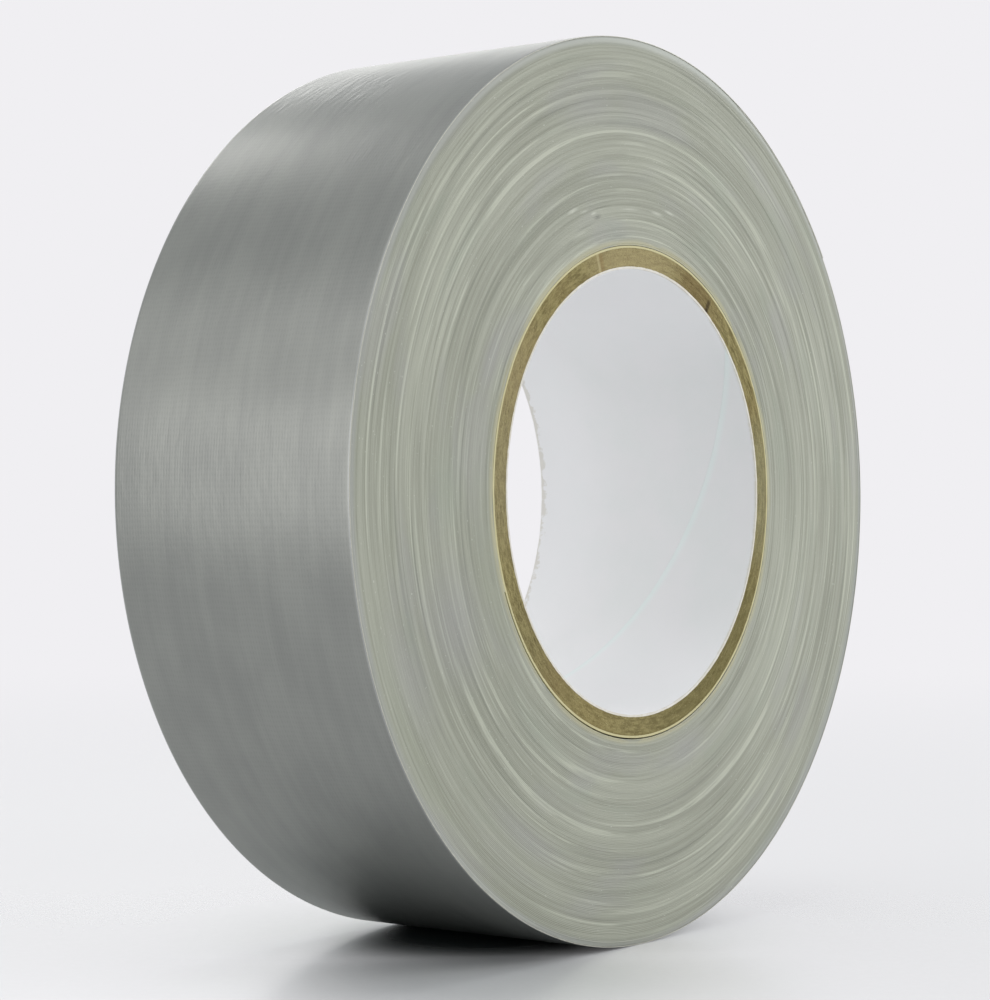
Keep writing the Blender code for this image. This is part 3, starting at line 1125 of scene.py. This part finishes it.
def floor_material():
    """A pale gloss floor that fades out, with painted shadows under the roll. What the camera sees of it directly
    differs from what lights and reflections see."""
    paint = Paint("studio_floor")
    x, y, _ = paint.split(paint.place())
    away = (x * x + y * y).apply("SQRT")
    grain = paint.noise(paint.place(), scale=0.8, detail=3.0)
    tone = paint.mix(grain * 0.4, srgb(242, 242, 244), srgb(239, 239, 241))
    ray = paint.tree.nodes.new("ShaderNodeLightPath")
    seen = paint.output(ray, "Is Camera Ray")

    def pick(looked_at, mirrored):
        return looked_at * seen + mirrored * (1.0 - seen)

    def distance(middle_x, middle_y, y_weight=None):
        """Millimetres from a place on the floor; y_weight stretches or squeezes the rings along Y."""
        right, back = x - middle_x, y - middle_y
        back = back * back
        return (right * right + (back if y_weight is None else back * y_weight)).apply("SQRT")

    # Painted shadows: a dark patch round where the roll stands, and a softer one off to the front left that only
    # the camera sees.
    under = distance(-7.0, 5.0, y_weight=1.1)
    soft = distance(-42.0, -24.0)
    shade = pick(soft.span(38.0, 8.0, 0.0, 0.12), under.span(78.0, 22.0, 0.0, 0.24))
    tone = paint.mix(shade, tone, srgb(84, 118, 120))
    # Painted shadow, nearly black, along where the roll touches the floor.
    tone = paint.mix(under.span(33.0, 12.0, 0.0, 0.94), tone, srgb(18, 38, 38))
    # Painted shadow that only reflections and lights see, not the camera.
    mirrored = distance(-22.0, -2.0, y_weight=0.6).span(40.0, 8.0, 0.0, 0.54)
    tone = paint.mix(pick(0.0, mirrored), tone, srgb(22, 44, 44))
    solid = highest(under.span(20.0, 62.0, 1.0, 0.42), soft.span(12.0, 60.0, 1.0, 0.42))
    solid = pick(solid, under.span(32.0, 80.0, 1.0, 0.62))
    return paint.finish(
        Base_Color=tone,
        Roughness=0.22 + grain * 0.05,
        Alpha=solid * away.span(120.0, 900.0, 1.0, 0.0),
        Specular_IOR_Level=0.50,
    )


def build_floor():
    """A disc at the lowest point, its rings closer together towards the middle."""
    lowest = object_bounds()[0].z
    radii = FLOOR_RADIUS * (np.arange(1, FLOOR_RINGS + 1) / FLOOR_RINGS) ** 2.2
    angles = 360.0 * np.arange(FLOOR_AROUND) / FLOOR_AROUND
    points = [np.array([[0.0, 0.0, lowest]])]
    for radius in radii:
        ring = polar(radius, angles, 0.0)
        level = np.full(FLOOR_AROUND, lowest)
        points.append(np.stack([ring[:, 0], ring[:, 2], level], axis=-1))
    at = 1 + np.arange(FLOOR_RINGS * FLOOR_AROUND).reshape(FLOOR_RINGS, FLOOR_AROUND)
    beside = np.roll(at, -1, axis=1)
    quads = np.stack([at[:-1], at[1:], beside[1:], beside[:-1]], axis=-1)
    centre = [[0, int(at[0, i]), int(beside[0, i])] for i in range(FLOOR_AROUND)]
    floor = build("studio_floor", np.concatenate(points), quads, centre, (floor_material(),))


def build_panel(name, azimuth, elevation, side, watts):
    """A soft square light that faces the roll."""
    azimuth, elevation = math.radians(azimuth), math.radians(elevation)
    level = math.cos(elevation)
    towards = Vector((math.cos(azimuth) * level, math.sin(azimuth) * level, math.sin(elevation)))
    data = bpy.data.lights.new(name, "AREA")
    data.shape = "RECTANGLE"
    data.size = data.size_y = side
    data.energy = watts
    data.color = LAMP
    lamp = bpy.data.objects.new(name, data)
    lamp.location = towards * PANEL_DISTANCE
    lamp.rotation_euler = (-towards).to_track_quat("-Z", "Y").to_euler()
    lamp.visible_camera = False
    bpy.context.scene.collection.objects.link(lamp)


def build_world():
    """Lights the scene with AMBIENT, and shows the camera a paler backdrop."""
    world = bpy.data.worlds.new("studio")
    bpy.context.scene.world = world
    world.use_nodes = True
    tree = world.node_tree
    ambient = tree.nodes["Background"]
    ambient.inputs[0].default_value = (*AMBIENT, 1.0)
    ambient.inputs[1].default_value = 1.0
    backdrop = tree.nodes.new("ShaderNodeBackground")
    backdrop.inputs[0].default_value = srgb(240, 239, 242)
    ray = tree.nodes.new("ShaderNodeLightPath")
    mix = tree.nodes.new("ShaderNodeMixShader")
    tree.links.new(ray.outputs["Is Camera Ray"], mix.inputs[0])
    tree.links.new(ambient.outputs[0], mix.inputs[1])
    tree.links.new(backdrop.outputs[0], mix.inputs[2])
    tree.links.new(mix.outputs[0], tree.nodes["World Output"].inputs[0])


def build_camera():
    camera = bpy.data.objects.new("camera", bpy.data.cameras.new("camera"))
    camera.data.sensor_width = 36.0
    camera.data.lens = 93.42
    camera.data.clip_start = 0.01
    camera.data.clip_end = 50.0
    camera.location = CAMERA_PLACE
    camera.rotation_euler = Vector(CAMERA_AIM).to_track_quat("-Z", "Y").to_euler()
    bpy.context.scene.collection.objects.link(camera)
    bpy.context.scene.camera = camera
    bpy.context.scene.view_settings.view_transform = "Standard"


stand_in(build_windings(), "tape_windings")
stand_in(build_first_turn(), "tape_first_turn")
build_strip()
build_core()
build_floor()
build_world()
for panel in PANELS:
    build_panel(*panel)
build_camera()
